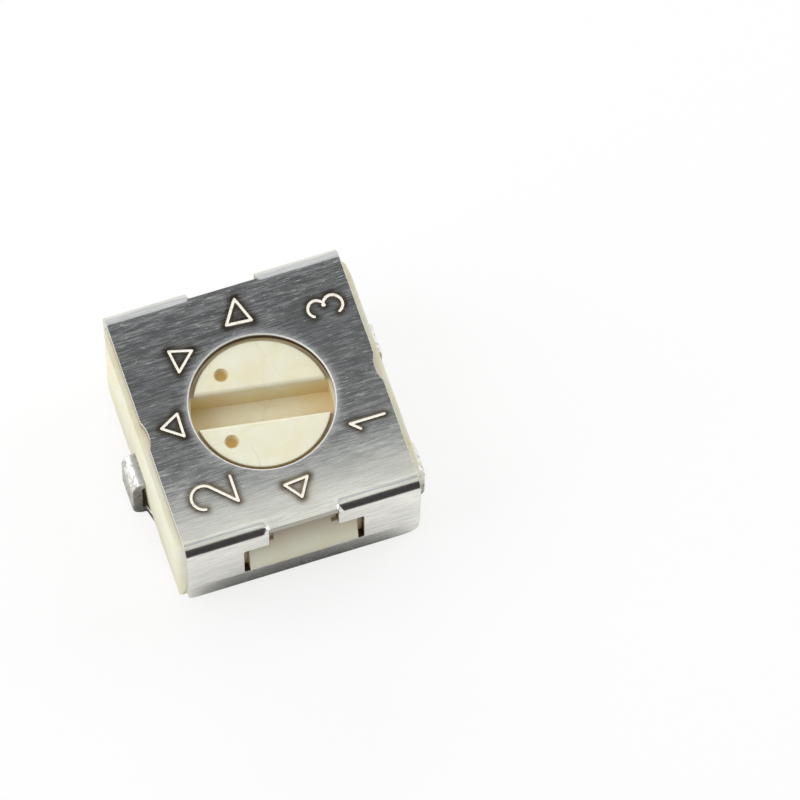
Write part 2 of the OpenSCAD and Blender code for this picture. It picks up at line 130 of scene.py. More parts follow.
class RotorSettings(bpy.types.PropertyGroup):
    """Sizes of the moulded rotor"""
    boss: length("Boss radius", "Radius of the boss inside the window", 1.15)
    rise: length("Boss rise", "Height of the boss above the CAD rotor's face", 0.045)
    flange: length("Flange radius", "Radius of the flange under the cover", 1.5)
    slot_width: length("Slot width", "Width of the screwdriver slot", 0.6)
    slot_reach: length("Slot reach", "Distance from the middle to each end of the slot", 1.195)
    dimple: length("Dimple", "Diameter of the pointer dimples", 0.24)
    dimple_x: length("Dimple place across", "Distance of the dimples from the cross axis", 0.6)
    dimple_y: length("Dimple place along", "Distance of the dimples from the slot's centre line", 0.61)
    edge: length("Edge rounding", "Rounding of the moulded edges", 0.025)
    flare: length("Slot flare", "Rounding of the slot's upper edges", 0.075)
    rest: angle("Rest angle", "Angle of the slot at rest", -9.3)
    segments: IntProperty(name="Segments", description="Flats round the rotor", default=180, min=24, max=360)


class HousingSettings(bpy.types.PropertyGroup):
    """Finish of the moulded housing's edges"""
    edge: length("Edge rounding", "Rounding of the moulded edges", 0.03)


class TerminalSettings(bpy.types.PropertyGroup):
    """Sizes of the J-hook terminals"""
    strip: length("Strip", "Thickness of the terminal strip", 0.18)
    bend: length("Bend radius", "Outside radius of the bends", 0.24)
    wiper_foot: length("Wiper foot width", "Width of the wiper terminal's foot", 1.2)
    wiper_leg: length("Wiper leg width", "Width of the wiper terminal's leg", 0.6)
    wiper_foot_length: length("Wiper foot length", "Flat length of the wiper terminal's foot", 0.69)
    end_foot: length("End foot width", "Width of an end terminal's foot", 0.74)
    end_leg: length("End leg width", "Width of an end terminal's leg", 0.56)
    end_foot_length: length("End foot length", "Flat length of an end terminal's foot", 0.67)
    shoulder: length("Foot shoulder", "Length over which a foot narrows to its leg", 0.08)
    edge: length("Edge rounding", "Rounding of the stamped edges", 0.022)


class FinishSettings(bpy.types.PropertyGroup):
    """Colours of the materials"""
    steel: tint("Steel", "Colour of the cover", (0.795, 0.805, 0.81))
    heat: tint("Heat tint", "Colour that the laser leaves beside its lines", (0.175, 0.125, 0.075))
    etched: tint("Laser line", "Colour of a laser line", (0.95, 0.91, 0.81))
    plastic: tint("Plastic", "Colour of the mouldings", (0.79, 0.78, 0.61))
    # Painted shade: the darker colour that the housing's faces over the catches take under the plate.
    soiled: tint("Painted shade under the plate", "Colour of the plastic where it is soiled under the plate", (0.40, 0.335, 0.24))
    # Painted shade: the orange-brown that stands in for the light trapped in the dimples.
    dimple: tint("Dimple", "Colour at the bottom of the dimples", (0.475, 0.30, 0.078))
    tin: tint("Tin", "Colour of the terminals", (0.86, 0.86, 0.84))


class StageSettings(bpy.types.PropertyGroup):
    """Camera and light"""
    azimuth: angle("Azimuth", "Camera azimuth", -18.2)
    elevation: angle("Elevation", "Camera elevation", 66)
    lens: FloatProperty(name="Lens", description="Focal length in millimetres", default=450)
    distance: length("Distance", "Camera distance", 165.8)
    aim_right: length("Aim right", "Aim point to the right of the rotor's middle", 2.287)
    aim_up: length("Aim up", "Aim point above the rotor's middle", 0.023)
    floor: tint("Floor", "Colour of the floor", (0.94, 0.94, 0.94))


# Objects

def add_object(name, data):
    made = bpy.data.objects.new(name, data)
    bpy.context.collection.objects.link(made)
    return made


def closed_mesh(name, verts, faces):
    """A mesh whose faces all face outwards, and the numbers of the points that its faces use."""
    mesh = bpy.data.meshes.new(name)
    mesh.from_pydata(verts, [], faces)
    work = bmesh.new()
    work.from_mesh(mesh)
    used = [v.index for v in work.verts if v.link_faces]
    bmesh.ops.delete(work, geom=[v for v in work.verts if not v.link_faces], context="VERTS")
    bmesh.ops.recalc_face_normals(work, faces=work.faces)
    work.to_mesh(mesh)
    work.free()
    return mesh, used


def plain_object(name, verts, faces):
    """An object with flat faces."""
    return add_object(name, closed_mesh(name, verts, faces)[0])


def apply_modifiers(made):
    graph = bpy.context.evaluated_depsgraph_get()
    graph.update()
    mesh = bpy.data.meshes.new_from_object(made.evaluated_get(graph))
    made.modifiers.clear()
    made.data = mesh
    return mesh


def cut(target, tool, operation="DIFFERENCE"):
    """Applies a boolean of a tool to a target and removes the tool."""
    modifier = target.modifiers.new("cut", "BOOLEAN")
    modifier.operation = operation
    modifier.solver = "EXACT"
    modifier.object = tool
    apply_modifiers(target)
    bpy.data.objects.remove(tool)


def round_edges(made, width_mm, degrees):
    """Rounds every edge that is sharper than an angle, and shades the rest smooth."""
    rounding = made.modifiers.new("rounding", "BEVEL")
    rounding.width = width_mm * MM
    rounding.segments = 3
    rounding.limit_method = "ANGLE"
    rounding.angle_limit = math.radians(degrees)
    made.modifiers.new("weld", "WELD").merge_threshold = 1e-8
    mesh = apply_modifiers(made)
    mesh.polygons.foreach_set("use_smooth", [True] * len(mesh.polygons))
    mesh.set_sharp_from_angle(angle=math.radians(35))


def tube_faces(count):
    """Faces of a closed tube between two rings of points, with its two caps."""
    faces = [tuple(range(count))[::-1], tuple(range(count, 2 * count))]
    return faces + [(i, (i + 1) % count, count + (i + 1) % count, count + i) for i in range(count)]


def prism(name, outline, low, high):
    """An upright prism over a flat outline in millimetres."""
    verts = [(p[0] * MM, p[1] * MM, z * MM) for z in (low, high) for p in outline]
    return plain_object(name, verts, tube_faces(len(outline)))


def turned(name, profile, segments):
    """A closed body turned from (radius, height) points that start and end on the axis."""
    verts, faces = [(0, 0, profile[0][1] * MM)], []
    for radius, height in profile[1:-1]:
        for k in range(segments):
            turn = math.tau * k / segments
            verts.append((radius * math.cos(turn) * MM, radius * math.sin(turn) * MM, height * MM))
    verts.append((0, 0, profile[-1][1] * MM))
    rings = len(profile) - 2
    last = 1 + (rings - 1) * segments
    for k in range(segments):
        n = (k + 1) % segments
        faces.append((0, 1 + n, 1 + k))
        for a in range(1, last, segments):
            faces.append((a + k, a + n, a + segments + n, a + segments + k))
        faces.append((last + k, last + n, len(verts) - 1))
    return plain_object(name, verts, faces)


# Flat outlines

def circle_points(radius, degrees):
    """Points on a circle at a list of angles."""
    return [(radius * math.cos(math.radians(a)), radius * math.sin(math.radians(a))) for a in degrees]


def rounded_loop(corners, step):
    """A closed outline through corners (x, y, radius), its corners rounded and its sides cut into short steps."""
    count = len(corners)
    arcs = []
    for i, (x, y, radius) in enumerate(corners):
        here = Vector((x, y))
        back = (Vector(corners[i - 1][:2]) - here).normalized()
        ahead = (Vector(corners[(i + 1) % count][:2]) - here).normalized()
        half = back.angle(ahead, math.pi) / 2
        if radius <= 0 or half > 1.5:
            arcs.append([here])
            continue
        middle = here + (back + ahead).normalized() * (radius / math.sin(half))
        first = here + back * (radius / math.tan(half)) - middle
        last = here + ahead * (radius / math.tan(half)) - middle
        turn = -first.angle_signed(last)
        steps = max(4, math.ceil(abs(turn) * radius / step))
        start = math.atan2(first.y, first.x)
        angles = [start + turn * k / steps for k in range(steps + 1)]
        arcs.append([middle + radius * Vector((math.cos(a), math.sin(a))) for a in angles])
    loop = []
    for i, arc in enumerate(arcs):
        loop.extend(arc)
        ahead = arcs[(i + 1) % count][0]
        parts = max(1, math.ceil((ahead - arc[-1]).length / step))
        loop.extend(arc[-1].lerp(ahead, k / parts) for k in range(1, parts))
    return loop


def outward_normals(loop):
    """The mitred outward direction at each point of a loop that has its material on the left."""
    found = []
    for i, here in enumerate(loop):
        before = (here - loop[i - 1]).normalized()
        after = (loop[(i + 1) % len(loop)] - here).normalized()
        first, second = Vector((before.y, -before.x)), Vector((after.y, -after.x))
        found.append((first + second) / max(0.3, 1 + first.dot(second)))
    return found


def inside_loops(points, loops):
    """Even-odd test of many points against closed loops."""
    inside = np.zeros(len(points), bool)
    x, y = points[:, 0], points[:, 1]
    for loop in loops:
        for i, here in enumerate(loop):
            there = loop[i - 1]
            if here.y == there.y:
                continue
            crosses = (here.y > y) != (there.y > y)
            inside ^= crosses & (x < (there.x - here.x) * (y - here.y) / (there.y - here.y) + here.x)
    return inside


def line_distances(points, lines):
    """Distance of each point from each polyline, as one row for each polyline."""
    rows = []
    for line in lines:
        best = np.full(len(points), 1e9)
        for a, b in zip(line[:-1], line[1:]):
            run = np.array(b) - np.array(a)
            away = points - np.array(a)
            share = np.clip(away @ run / (run @ run), 0, 1)
            best = np.minimum(best, np.hypot(*(away - share[:, None] * run).T))
        rows.append(best)
    return np.array(rows)


def nearest_line(points, lines):
    """Distance of each point from the nearest of some polylines."""
    return line_distances(points, lines).min(axis=0)


def blank_points(low, high, step_x, rows, loops, gap):
    """Points spread over a blank in rows, at least a gap clear of the points of its outlines."""
    columns = np.linspace(low, high, max(2, round((high - low) / step_x)) + 1)
    points = np.array([(x, y) for y in rows for x in columns])
    points = points[inside_loops(points, loops)]
    kept = np.ones(len(points), bool)
    for p in (p for loop in loops for p in loop):
        kept &= (points[:, 0] - p[0]) ** 2 + (points[:, 1] - p[1]) ** 2 > gap * gap
    return points[kept]


# Bent sheet

def heading_normal(heading):
    """The direction to the left of a heading."""
    return Vector((-math.sin(heading), math.cos(heading)))


def moved_on(place, heading, radius, along):
    """Point and heading some way further along a bend, or along a straight where the radius is 0."""
    if radius == 0:
        return place + along * Vector((math.cos(heading), math.sin(heading))), heading
    middle = place - radius * heading_normal(heading)
    heading -= along / radius
    return middle + radius * heading_normal(heading), heading


class BentStrip:
    """The outer face of a strip that bends away from its normal, as (straight length, radius, angle) parts."""

    def __init__(self, start, parts):
        self.parts = []
        place, heading, done = Vector(start), 0.0, 0.0
        for straight, radius, bend in parts:
            size = radius * bend if radius else straight
            self.parts.append((done, size, place, heading, radius))
            place, heading = moved_on(place, heading, radius, size)
            done += size
        self.length = done

    def at(self, run):
        """Point and outward normal at a distance along the strip."""
        for done, size, place, heading, radius in self.parts:
            if run <= done + size:
                break
        place, heading = moved_on(place, heading, radius, float(run - done))
        return place, heading_normal(heading)


def flat_mesh(loops, points):
    """Triangles over a blank: its spots, the corners of its triangles, and the spot of each point of the loops."""
    coords, edges = [], []
    for loop in loops:
        base = len(coords)
        coords.extend(loop)
        edges.extend((base + i, base + (i + 1) % len(loop)) for i in range(len(loop)))
    coords.extend(Vector(p) for p in points)
    flat, _, faces, originals, _, _ = delaunay_2d_cdt(coords, edges, [], 0, 1e-7)
    found = {source: k for k, sources in enumerate(originals) for source in sources}
    corners = np.array([f for f in faces if len(f) == 3])
    spots = [(v.x, v.y) for v in flat]
    corners = corners[inside_loops(np.array(spots)[corners].mean(axis=1), loops)].tolist()
    return spots, corners, found


def build_sheet(name, loops, points, place, dip, sheet, edges_round):
    """Builds a closed sheet: place(x, run, depth) puts a point of the blank, dip(x, run) lowers its outer face."""
    outwards = [outward_normals(loop) for loop in loops]
    rims = [[p - edge * n for p, n in zip(loop, normals)]
            for loop, normals, edge in zip(loops, outwards, edges_round)]
    spots, corners, found = flat_mesh(rims, points)
    nudge, step = 0.002, 0.01

    def skin(x, run):
        return place(x, run, dip(x, run))

    def normal_at(x, run):
        across = skin(x + nudge, run) - skin(x - nudge, run)
        along = skin(x, run + nudge) - skin(x, run - nudge)
        normal = across.cross(along).normalized()
        outside = place(x, run, -nudge) - place(x, run, 0)
        return normal if normal.dot(outside) > 0 else -normal

    lower = len(spots)
    verts = [skin(x, run) for x, run in spots] + [place(x, run, sheet) for x, run in spots]
    normals = [normal_at(x, run) for x, run in spots]
    normals += [(place(x, run, sheet + step) - place(x, run, sheet)).normalized() for x, run in spots]
    blank = [(x, run, depth) for depth in (0.0, sheet) for x, run in spots]
    faces = [tuple(t) for t in corners] + [(a + lower, c + lower, b + lower) for a, b, c in corners]
    cut_from = len(faces)
    offset = 0
    for loop, outward, edge in zip(loops, outwards, edges_round):
        round_in = edge * (1 - math.sqrt(0.5))
        size = len(loop)
        rings = [[found[offset + i] for i in range(size)]]
        for inset, depth, share in ((round_in, round_in, 0.7), (0, edge, 1), (0, sheet - edge, 1),
                                    (round_in, sheet - round_in, 0.7)):
            ring = []
            for p, out in zip(loop, outward):
                q = p - inset * out
                here = place(q.x, q.y, depth)
                side = (place(q.x + step * out.x, q.y + step * out.y, depth) - here).normalized()
                face = (place(q.x, q.y, -step) - place(q.x, q.y, 0)).normalized()
                face = face if depth < sheet / 2 else -face
                ring.append(len(verts))
                verts.append(here)
                normals.append((share * side + (1 - share) * face * 1.5).normalized() if share < 1 else side)
                blank.append((q.x, q.y, depth))
            rings.append(ring)
        rings.append([lower + found[offset + i] for i in range(size)])
        for upper, under in zip(rings[:-1], rings[1:]):
            faces += [(upper[i], under[i], under[(i + 1) % size], upper[(i + 1) % size]) for i in range(size)]
        offset += size
    mesh, used = closed_mesh(name, [v * MM for v in verts], faces)
    layer = mesh.attributes.new("blank", "FLOAT_VECTOR", "POINT")
    layer.data.foreach_set("vector", np.array([blank[k] for k in used], np.float32).ravel())
    mesh.polygons.foreach_set("use_smooth", [True] * len(mesh.polygons))
    mesh.normals_split_custom_set_from_vertices([normals[k] for k in used])
    return add_object(name, mesh), cut_from


# Shader nodes

def bare_tree(owner):
    """The emptied node tree of a material or world."""
    owner.use_nodes = True
    owner.node_tree.nodes.clear()
    return owner.node_tree


def shader_node(tree, kind, inputs=None, **settings):
    """A shader node whose inputs are joined to sockets or set to values."""
    made = tree.nodes.new("ShaderNode" + kind)
    for key, value in settings.items():
        setattr(made, key, value)
    for key, value in (inputs or {}).items():
        if isinstance(value, bpy.types.NodeSocket):
            tree.links.new(value, made.inputs[key])
        else:
            made.inputs[key].default_value = value
    return made


def maths(tree, operation, *values, clamp=False):
    """Value output of a sum or other operation."""
    return shader_node(tree, "Math", dict(enumerate(values)), operation=operation, use_clamp=clamp).outputs[0]


def vectors(tree, operation, *values):
    """The node of a vector operation."""
    return shader_node(tree, "VectorMath", dict(enumerate(values)), operation=operation)


def stretched(tree, vector, factors):
    """Vector output of a vector times a factor along each axis."""
    return vectors(tree, "MULTIPLY", vector, factors).outputs[0]


def noise(tree, vector, scale, detail, roughness=0.5, distortion=0.0):
    return shader_node(tree, "TexNoise", {"Vector": vector, "Scale": scale, "Detail": detail,
                                          "Roughness": roughness, "Distortion": distortion})


def ranged(tree, value, low, high, from_low=0.0, from_high=1.0, kind="LINEAR"):
    """Value output that runs from low to high as the input does."""
    return shader_node(tree, "MapRange", {
        "Value": value, "From Min": from_low, "From Max": from_high, "To Min": low, "To Max": high},
        interpolation_type=kind).outputs[0]


def eased(tree, value, from_low, from_high, low=0.0, high=1.0):
    """Value output that runs smoothly from low to high between two values of the input."""
    return ranged(tree, value, low, high, from_low, from_high, "SMOOTHSTEP")


def mixed(tree, share, low, high, blend="MIX"):
    """Colour output of a mix of two colours."""
    return shader_node(tree, "Mix", {0: share, 6: low, 7: high}, data_type="RGBA", blend_type=blend).outputs[2]


def shade(colour, share=1.0):
    """A colour for a socket, with all of it or each of its parts times a share."""
    shares = (share,) * 3 if isinstance(share, (int, float)) else share
    return (*(value * part for value, part in zip(colour, shares)), 1.0)


# Shared shader effects

def effect(inputs, outputs):
    """Makes a function that fills a node group into one that builds the group once, with its named sockets."""
    def wrap(fill):
        def build():
            tree = bpy.data.node_groups.get(fill.__name__)
            if tree:
                return tree
            tree = bpy.data.node_groups.new(fill.__name__, "ShaderNodeTree")
            for title, kind, default in inputs:
                socket = tree.interface.new_socket(title, in_out="INPUT", socket_type="NodeSocket" + kind)
                if default is not None:
                    socket.default_value = default
            for title, kind in outputs:
                tree.interface.new_socket(title, in_out="OUTPUT", socket_type="NodeSocket" + kind)
            start, end = tree.nodes.new("NodeGroupInput"), tree.nodes.new("NodeGroupOutput")
            results = fill(tree, *(start.outputs[title] for title, _, _ in inputs))
            for (title, _), value in zip(outputs, results):
                tree.links.new(value, end.inputs[title])
            return tree
        return build
    return wrap


def place_effect(tree, build, **inputs):
    """Outputs of an effect that is placed in a material with its own values."""
    return shader_node(tree, "Group", inputs, node_tree=build()).outputs


@effect([("Vector", "Vector", None), ("Along", "Float", 2.6), ("Across", "Float", 28.0)],
        [("Streaks", "Float"), ("Patches", "Float"), ("Ticks", "Float"), ("Hue", "Color")])
def brushed_grain(tree, vector, along, across):
    """Fine streaks along the first axis over broader ones, with patches and short bright scratches."""
    factors = shader_node(tree, "CombineXYZ", {"X": along, "Y": across, "Z": across}).outputs[0]
    streak = stretched(tree, vector, factors)
    fine = noise(tree, streak, 1.0, 3.0, 0.6).outputs[0]
    medium = noise(tree, stretched(tree, streak, (0.5, 0.3, 0.3)), 1.0, 2.0).outputs
    streaks = maths(tree, "MULTIPLY_ADD", fine, 0.65, maths(tree, "MULTIPLY", medium[0], 0.35))
    patches = noise(tree, stretched(tree, vector, (0.7, 2.0, 2.0)), 1.0, 3.0, 0.55).outputs[0]
    short = noise(tree, stretched(tree, streak, (2.2, 0.9, 0.9)), 1.0, 3.0).outputs[0]
    return streaks, patches, eased(tree, short, 0.58, 0.70), medium["Color"]


@effect([("Color", "Color", None), ("Deep", "Color", None), ("Reach", "Float", 0.6), ("Open", "Float", 0.9),
         ("Closed", "Float", 0.3)],
        [("Color", "Color")])
def hollow_painted_shade(tree, colour, shade_colour, reach, open_share, closed_share):
    """Paints shade into a colour: turns it towards a deeper one in gaps, slots and corners, seen over a reach in
    millimetres.
    """
    space = shader_node(tree, "AmbientOcclusion", {"Distance": maths(tree, "MULTIPLY", reach, MM)}, samples=8)
    return [mixed(tree, eased(tree, space.outputs["AO"], open_share, closed_share), colour, shade_colour)]


@effect([("Vector", "Vector", None), ("Flow", "Float", 2.0)],
        [("Tone", "Float"), ("Height", "Float"), ("Specks", "Float"), ("Veins", "Float")])
def moulded_skin(tree, vector, flow):
    """Faint clouding, flow lines, specks, veins and grain of a moulded plastic."""
    cloud = noise(tree, vector, 0.9, 3.0).outputs
    bent = vectors(tree, "ADD", vector, cloud["Color"]).outputs[0]
    lines = noise(tree, bent, flow, 2.0, distortion=1.6).outputs[0]
    tone = maths(tree, "MULTIPLY", maths(tree, "ADD", cloud[0], lines), 0.5)
    grain = noise(tree, vector, 34.0, 3.0, 0.6).outputs[0]
    dots = shader_node(tree, "TexVoronoi", {"Vector": vector, "Scale": 7.0})
    drifted = vectors(tree, "MULTIPLY_ADD", cloud["Color"], (0.5, 0.5, 0.5), vector).outputs[0]
    cells = shader_node(tree, "TexVoronoi", {"Vector": drifted, "Scale": 0.9}, feature="DISTANCE_TO_EDGE")
    veins = maths(tree, "MULTIPLY", eased(tree, cells.outputs["Distance"], 0.022, 0.004),
                  eased(tree, lines, 0.42, 0.62))
    return tone, grain, eased(tree, dots.outputs["Distance"], 0.10, 0.02), veins


@effect([("Vector", "Vector", None), ("Scale", "Float", 4.0), ("Cover", "Float", 0.5)],
        [("Mask", "Float"), ("Height", "Float")])
def scuff_marks(tree, vector, scale, cover):
    """Sparse dents and rubbed spots of a stamped or plated piece."""
    spots = noise(tree, vector, scale, 6.0, 0.66, 0.7).outputs[0]
    low = maths(tree, "SUBTRACT", 0.78, cover)
    return eased(tree, spots, low, maths(tree, "ADD", low, 0.1)), spots


# Materials

def start_material(name):
    """A new material with its shader and the object's own coordinates in millimetres."""
    made = bpy.data.materials.new(name)
    tree = bare_tree(made)
    shader = shader_node(tree, "BsdfPrincipled")
    shader_node(tree, "OutputMaterial", {0: shader.outputs[0]})
    place = shader_node(tree, "TexCoord").outputs["Object"]
    return made, tree, shader, stretched(tree, place, (1000, 1000, 1000))


def dress(tree, shader, colour, roughness, metallic=0.0, height=None, strength=0.0, depth=0.0):
    """Joins colour, roughness and height to a shader. The depth of the height is in millimetres."""
    tree.links.new(colour, shader.inputs["Base Color"])
    tree.links.new(roughness, shader.inputs["Roughness"])
    shader.inputs["Metallic"].default_value = metallic
    if height is not None:
        bump = shader_node(tree, "Bump", {"Height": height, "Strength": strength, "Distance": depth * MM})
        tree.links.new(bump.outputs[0], shader.inputs["Normal"])


def brushed_steel(finish):
    """Stainless sheet brushed along the folds, with the laser's heat tint and a burnished window rim."""
    made, tree, shader, _ = start_material("brushed_steel")

    def painted(name, output="Fac"):
        return shader_node(tree, "Attribute", attribute_name=name).outputs[output]

    blank, burnish = painted("blank", "Vector"), painted("burnish")
    grain = place_effect(tree, brushed_grain, Vector=blank, Along=2.7, Across=46.0)
    scuff = place_effect(tree, scuff_marks, Vector=blank, Scale=3.0, Cover=0.14)
    colour = mixed(tree, ranged(tree, grain["Patches"], 0, 1, 0.35, 0.65), shade(finish.steel, 0.90),
                   shade(finish.steel, 1.03))
    colour = mixed(tree, 0.10, colour, grain["Hue"], "OVERLAY")
    for share, tone in (
            (ranged(tree, grain["Streaks"], 0.36, 0, 0.41, 0.53), shade(finish.steel, 0.55)),
            (ranged(tree, grain["Ticks"], 0, 0.28), (0.88, 0.89, 0.91, 1)),
            (ranged(tree, burnish, 0, 0.65), (0.90, 0.90, 0.92, 1)),
            (ranged(tree, painted("laser_tint"), 0, 0.95), shade(finish.heat))):
        colour = mixed(tree, share, colour, tone)
    rough = ranged(tree, grain["Streaks"], 0.19, 0.33, 0.44, 0.62)
    for mark, share in ((grain["Ticks"], 0.16), (scuff["Mask"], 0.12), (burnish, 0.16)):
        rough = maths(tree, "MULTIPLY_ADD", mark, share, rough)
    rough = ranged(tree, painted("fold_polish"), rough, 0.2)
    dress(tree, shader, colour, rough, 1.0, grain["Streaks"], 0.24, 0.004)
    return made


def scuffed_finish(name, scale, cover, colours, roughness, metallic, strength=0.0, depth=0.0, hollow_shade=None):
    """A finish with a second colour on its scuffs, and painted shade in its hollows."""
    made, tree, shader, place = start_material(name)
    scuff = place_effect(tree, scuff_marks, Vector=place, Scale=scale, Cover=cover)
    colour = mixed(tree, scuff["Mask"], *colours)
    if hollow_shade:
        colour = place_effect(tree, hollow_painted_shade, Color=colour, **hollow_shade)["Color"]
    height = scuff["Height"] if strength else None
    dress(tree, shader, colour, ranged(tree, scuff["Height"], *roughness), metallic, height, strength, depth)
    return made


def cover_finishes(finish):
    """The brushed sheet, its slightly torn edges, the laser lines' frosted bottoms and the window's rolled rim,
    whose near-white colour paints its highlight.
    """
    # The torn edges get painted shade, a dark brown, where they are hollow or close to other parts.
    torn = scuffed_finish(
        "sheared_steel", 9.0, 0.2, ((0.72, 0.71, 0.67, 1), shade(finish.steel, 0.7)), (0.3, 0.5), 1.0, 0.2, 0.004,
        {"Deep": (0.10, 0.07, 0.045, 1), "Reach": 0.4, "Open": 0.85, "Closed": 0.45})
    frosted = scuffed_finish("laser_line", 11.0, 0.25, (shade(finish.etched), shade(finish.etched, 0.82)),
                             (0.5, 0.8), 0.1, 0.3, 0.003)
    # Painted highlight: the window's rolled rim is near white, so that it shows a bright ring from every side.
    rolled = scuffed_finish("rim_painted_highlight", 7.0, 0.16, ((0.93, 0.93, 0.92, 1), (0.78, 0.77, 0.74, 1)),
                            (0.35, 0.5), 0.4)
    return brushed_steel(finish), torn, frosted, rolled


def ivory_plastic(name, finish, flow, veins, spots=(), pocket_shade=False):
    """Ivory moulded plastic with faint clouding, with painted brown shade in its hollows, at any spots and over
    the catches.
    """
    made, tree, shader, place = start_material(name)
    skin = place_effect(tree, moulded_skin, Vector=place, Flow=flow)
    colour = mixed(tree, ranged(tree, skin["Tone"], 0, 1, 0.38, 0.60), shade(finish.plastic, (1.0, 0.955, 0.87)),
                   shade(finish.plastic, (1.03, 1.035, 1.08)))
    colour = mixed(tree, ranged(tree, skin["Veins"], 0, veins), colour, (0.62, 0.52, 0.33, 1))
    colour = mixed(tree, ranged(tree, skin["Specks"], 0, 0.15), colour, (0.62, 0.50, 0.33, 1))
    # Painted shade: the plastic turns brown in its gaps, slots and corners.
    colour = place_effect(tree, hollow_painted_shade, Color=colour, Deep=shade(finish.plastic, (0.93, 0.73, 0.46)),
                          Reach=0.8, Open=0.63, Closed=0.12)["Color"]
    # Painted shade: the housing's front and back faces over the catches, under the plate, turn darker towards the
    # top.
    if pocket_shade:
        split = shader_node(tree, "SeparateXYZ", {0: place}).outputs
        outer = ranged(tree, maths(tree, "ABSOLUTE", split["Y"]), 0, 1, 1.9, 2.0)
        inner = ranged(tree, maths(tree, "ABSOLUTE", split["X"]), 1, 0, 1.06, 1.16)
        soiled = maths(tree, "MULTIPLY", outer, eased(tree, split["Z"], 1.15, 2.25))
        colour = mixed(tree, maths(tree, "MULTIPLY", soiled, inner), colour, shade(finish.soiled))
    # Painted shade: each dimple's hollow turns orange-brown, clouded with the plastic's tone.
    flat = stretched(tree, place, (1, 1, 0)) if spots else None
    for x, y in spots:
        away = vectors(tree, "DISTANCE", flat, (x, y, 0)).outputs["Value"]
        dimple_shade = mixed(tree, skin["Tone"], shade(finish.dimple, 0.85), shade(finish.dimple, 1.35))
        colour = mixed(tree, eased(tree, away, 0.145, 0.07), colour, dimple_shade)
    dress(tree, shader, colour, ranged(tree, skin["Tone"], 0.42, 0.55), 0.0, skin["Height"], 0.12, 0.006)
    shader.inputs["Subsurface Weight"].default_value = 0.12
    shader.inputs["Subsurface Radius"].default_value = (1.0, 0.62, 0.3)
    shader.inputs["Subsurface Scale"].default_value = 0.25 * MM
    return made


def bright_tin(finish):
    """Bright tin plating with scuffs, a faint drag pattern and painted shade in its hollows."""
    made, tree, shader, place = start_material("bright_tin")
    scuff = place_effect(tree, scuff_marks, Vector=place, Scale=7.5, Cover=0.29)
    grain = place_effect(tree, brushed_grain, Vector=place, Along=6.0, Across=10.0)
    colour = mixed(tree, ranged(tree, grain["Streaks"], 0, 1, 0.4, 0.6), shade(finish.tin, 0.9),
                   shade(finish.tin, 1.06))
    colour = mixed(tree, ranged(tree, scuff["Mask"], 0, 0.6), colour, (0.24, 0.24, 0.23, 1))
    # Painted shade: the tin turns dark grey-brown in its bends and gaps.
    colour = place_effect(tree, hollow_painted_shade, Color=colour, Deep=(0.25, 0.23, 0.20, 1), Reach=0.3, Open=0.7,
                          Closed=0.3)["Color"]
    rough = ranged(tree, scuff["Height"], 0.22, 0.5, 0.35, 0.65)
    dress(tree, shader, colour, rough, 0.9, scuff["Height"], 0.35, 0.01)
    return made


def inner_finish(name, colour, roughness, metallic, scale):
    """A fine-grained finish for the pieces inside."""
    made, tree, shader, place = start_material(name)
    height = place_effect(tree, scuff_marks, Vector=place, Scale=scale, Cover=0.25)["Height"]
    toned = mixed(tree, ranged(tree, height, 0, 1, 0.3, 0.7), shade(colour, 0.85), shade(colour, 1.1))
    rough = ranged(tree, height, roughness - 0.1, roughness + 0.1)
    dress(tree, shader, toned, rough, metallic, height, 0.2, 0.004)
    return made


# Marks on the plate, in millimetres

GROOVE_WALL = 0.014
TRIANGLES = (
    ((0.133, 1.84), (-0.155, 1.49), (0.304, 1.456)),
    ((-1.21, 1.36), (-0.81, 1.25), (-1.15, 0.92)),
    ((-1.40, 0.24), (-1.75, 0.05), (-1.41, -0.21)),
    ((0.31, -1.51), (-0.125, -1.55), (0.10, -1.86)),
)


def arc_points(middle, radius, start, end, count):
    """Points on an arc between two angles."""
    angles = [start + (end - start) * k / count for k in range(count + 1)]
    return [(middle[0] + x, middle[1] + y) for x, y in circle_points(radius, angles)]


DIGITS = {
    "1": [(-0.2, 0.26), (0.03, 0.5), (0.03, -0.5)],
    "2": arc_points((0, 0.21), 0.29, 172, -38, 18) + [(-0.31, -0.5), (0.33, -0.5)],
    "3": arc_points((0, 0.25), 0.25, 150, -80, 16) + arc_points((0, -0.22), 0.28, 80, -155, 18),
}


def digit_line(digit, middle, height):
    """Centre line of a number whose top points to -X, so that it reads from the front to the back."""
    return [(middle[0] - v * height, middle[1] + u * height) for u, v in DIGITS[digit]]


def mark_lines(marks):
    """Centre lines of the triangles and of the numbers on the plate."""
    closed = []
    for corners in TRIANGLES:
        middle = [sum(p[k] for p in corners) / 3 for k in (0, 1)]
        ring = [tuple(m + marks.triangles * (v - m) for v, m in zip(p, middle)) for p in corners]
        closed.append(ring + ring[:1])
    tall, small = marks.wiper_digit / MM, marks.end_digit / MM
    return closed, [digit_line("2", (-1.29, -1.36), tall), digit_line("3", (1.53, 1.32), small),
                    digit_line("1", (1.56, -0.86), small)]


def spaced(line, step):
    """The same polyline with points at short steps."""
    points = []
    for a, b in zip(line[:-1], line[1:]):
        parts = max(1, math.ceil(math.dist(a, b) / step))
        points.extend((a[0] + (b[0] - a[0]) * k / parts, a[1] + (b[1] - a[1]) * k / parts) for k in range(parts))
    return points + [line[-1]]


def around_line(line, reach, step):
    """Points at a set distance all round a polyline."""
    ring = np.array([(x + reach * math.cos(math.tau * k / 16), y + reach * math.sin(math.tau * k / 16))
                     for x, y in spaced(line, step) for k in range(16)])
    ring = ring[nearest_line(ring, [line]) > reach * 0.985]
    kept = []
    for p in ring:
        if all(math.dist(p, q) > step * 0.6 for q in kept[-200:]):
            kept.append(tuple(p))
    return kept


# Pieces

def smooth(share):
    """A share from 0 to 1 that starts and ends gently."""
    share = min(1.0, max(0.0, share))
    return share * share * (3 - 2 * share)


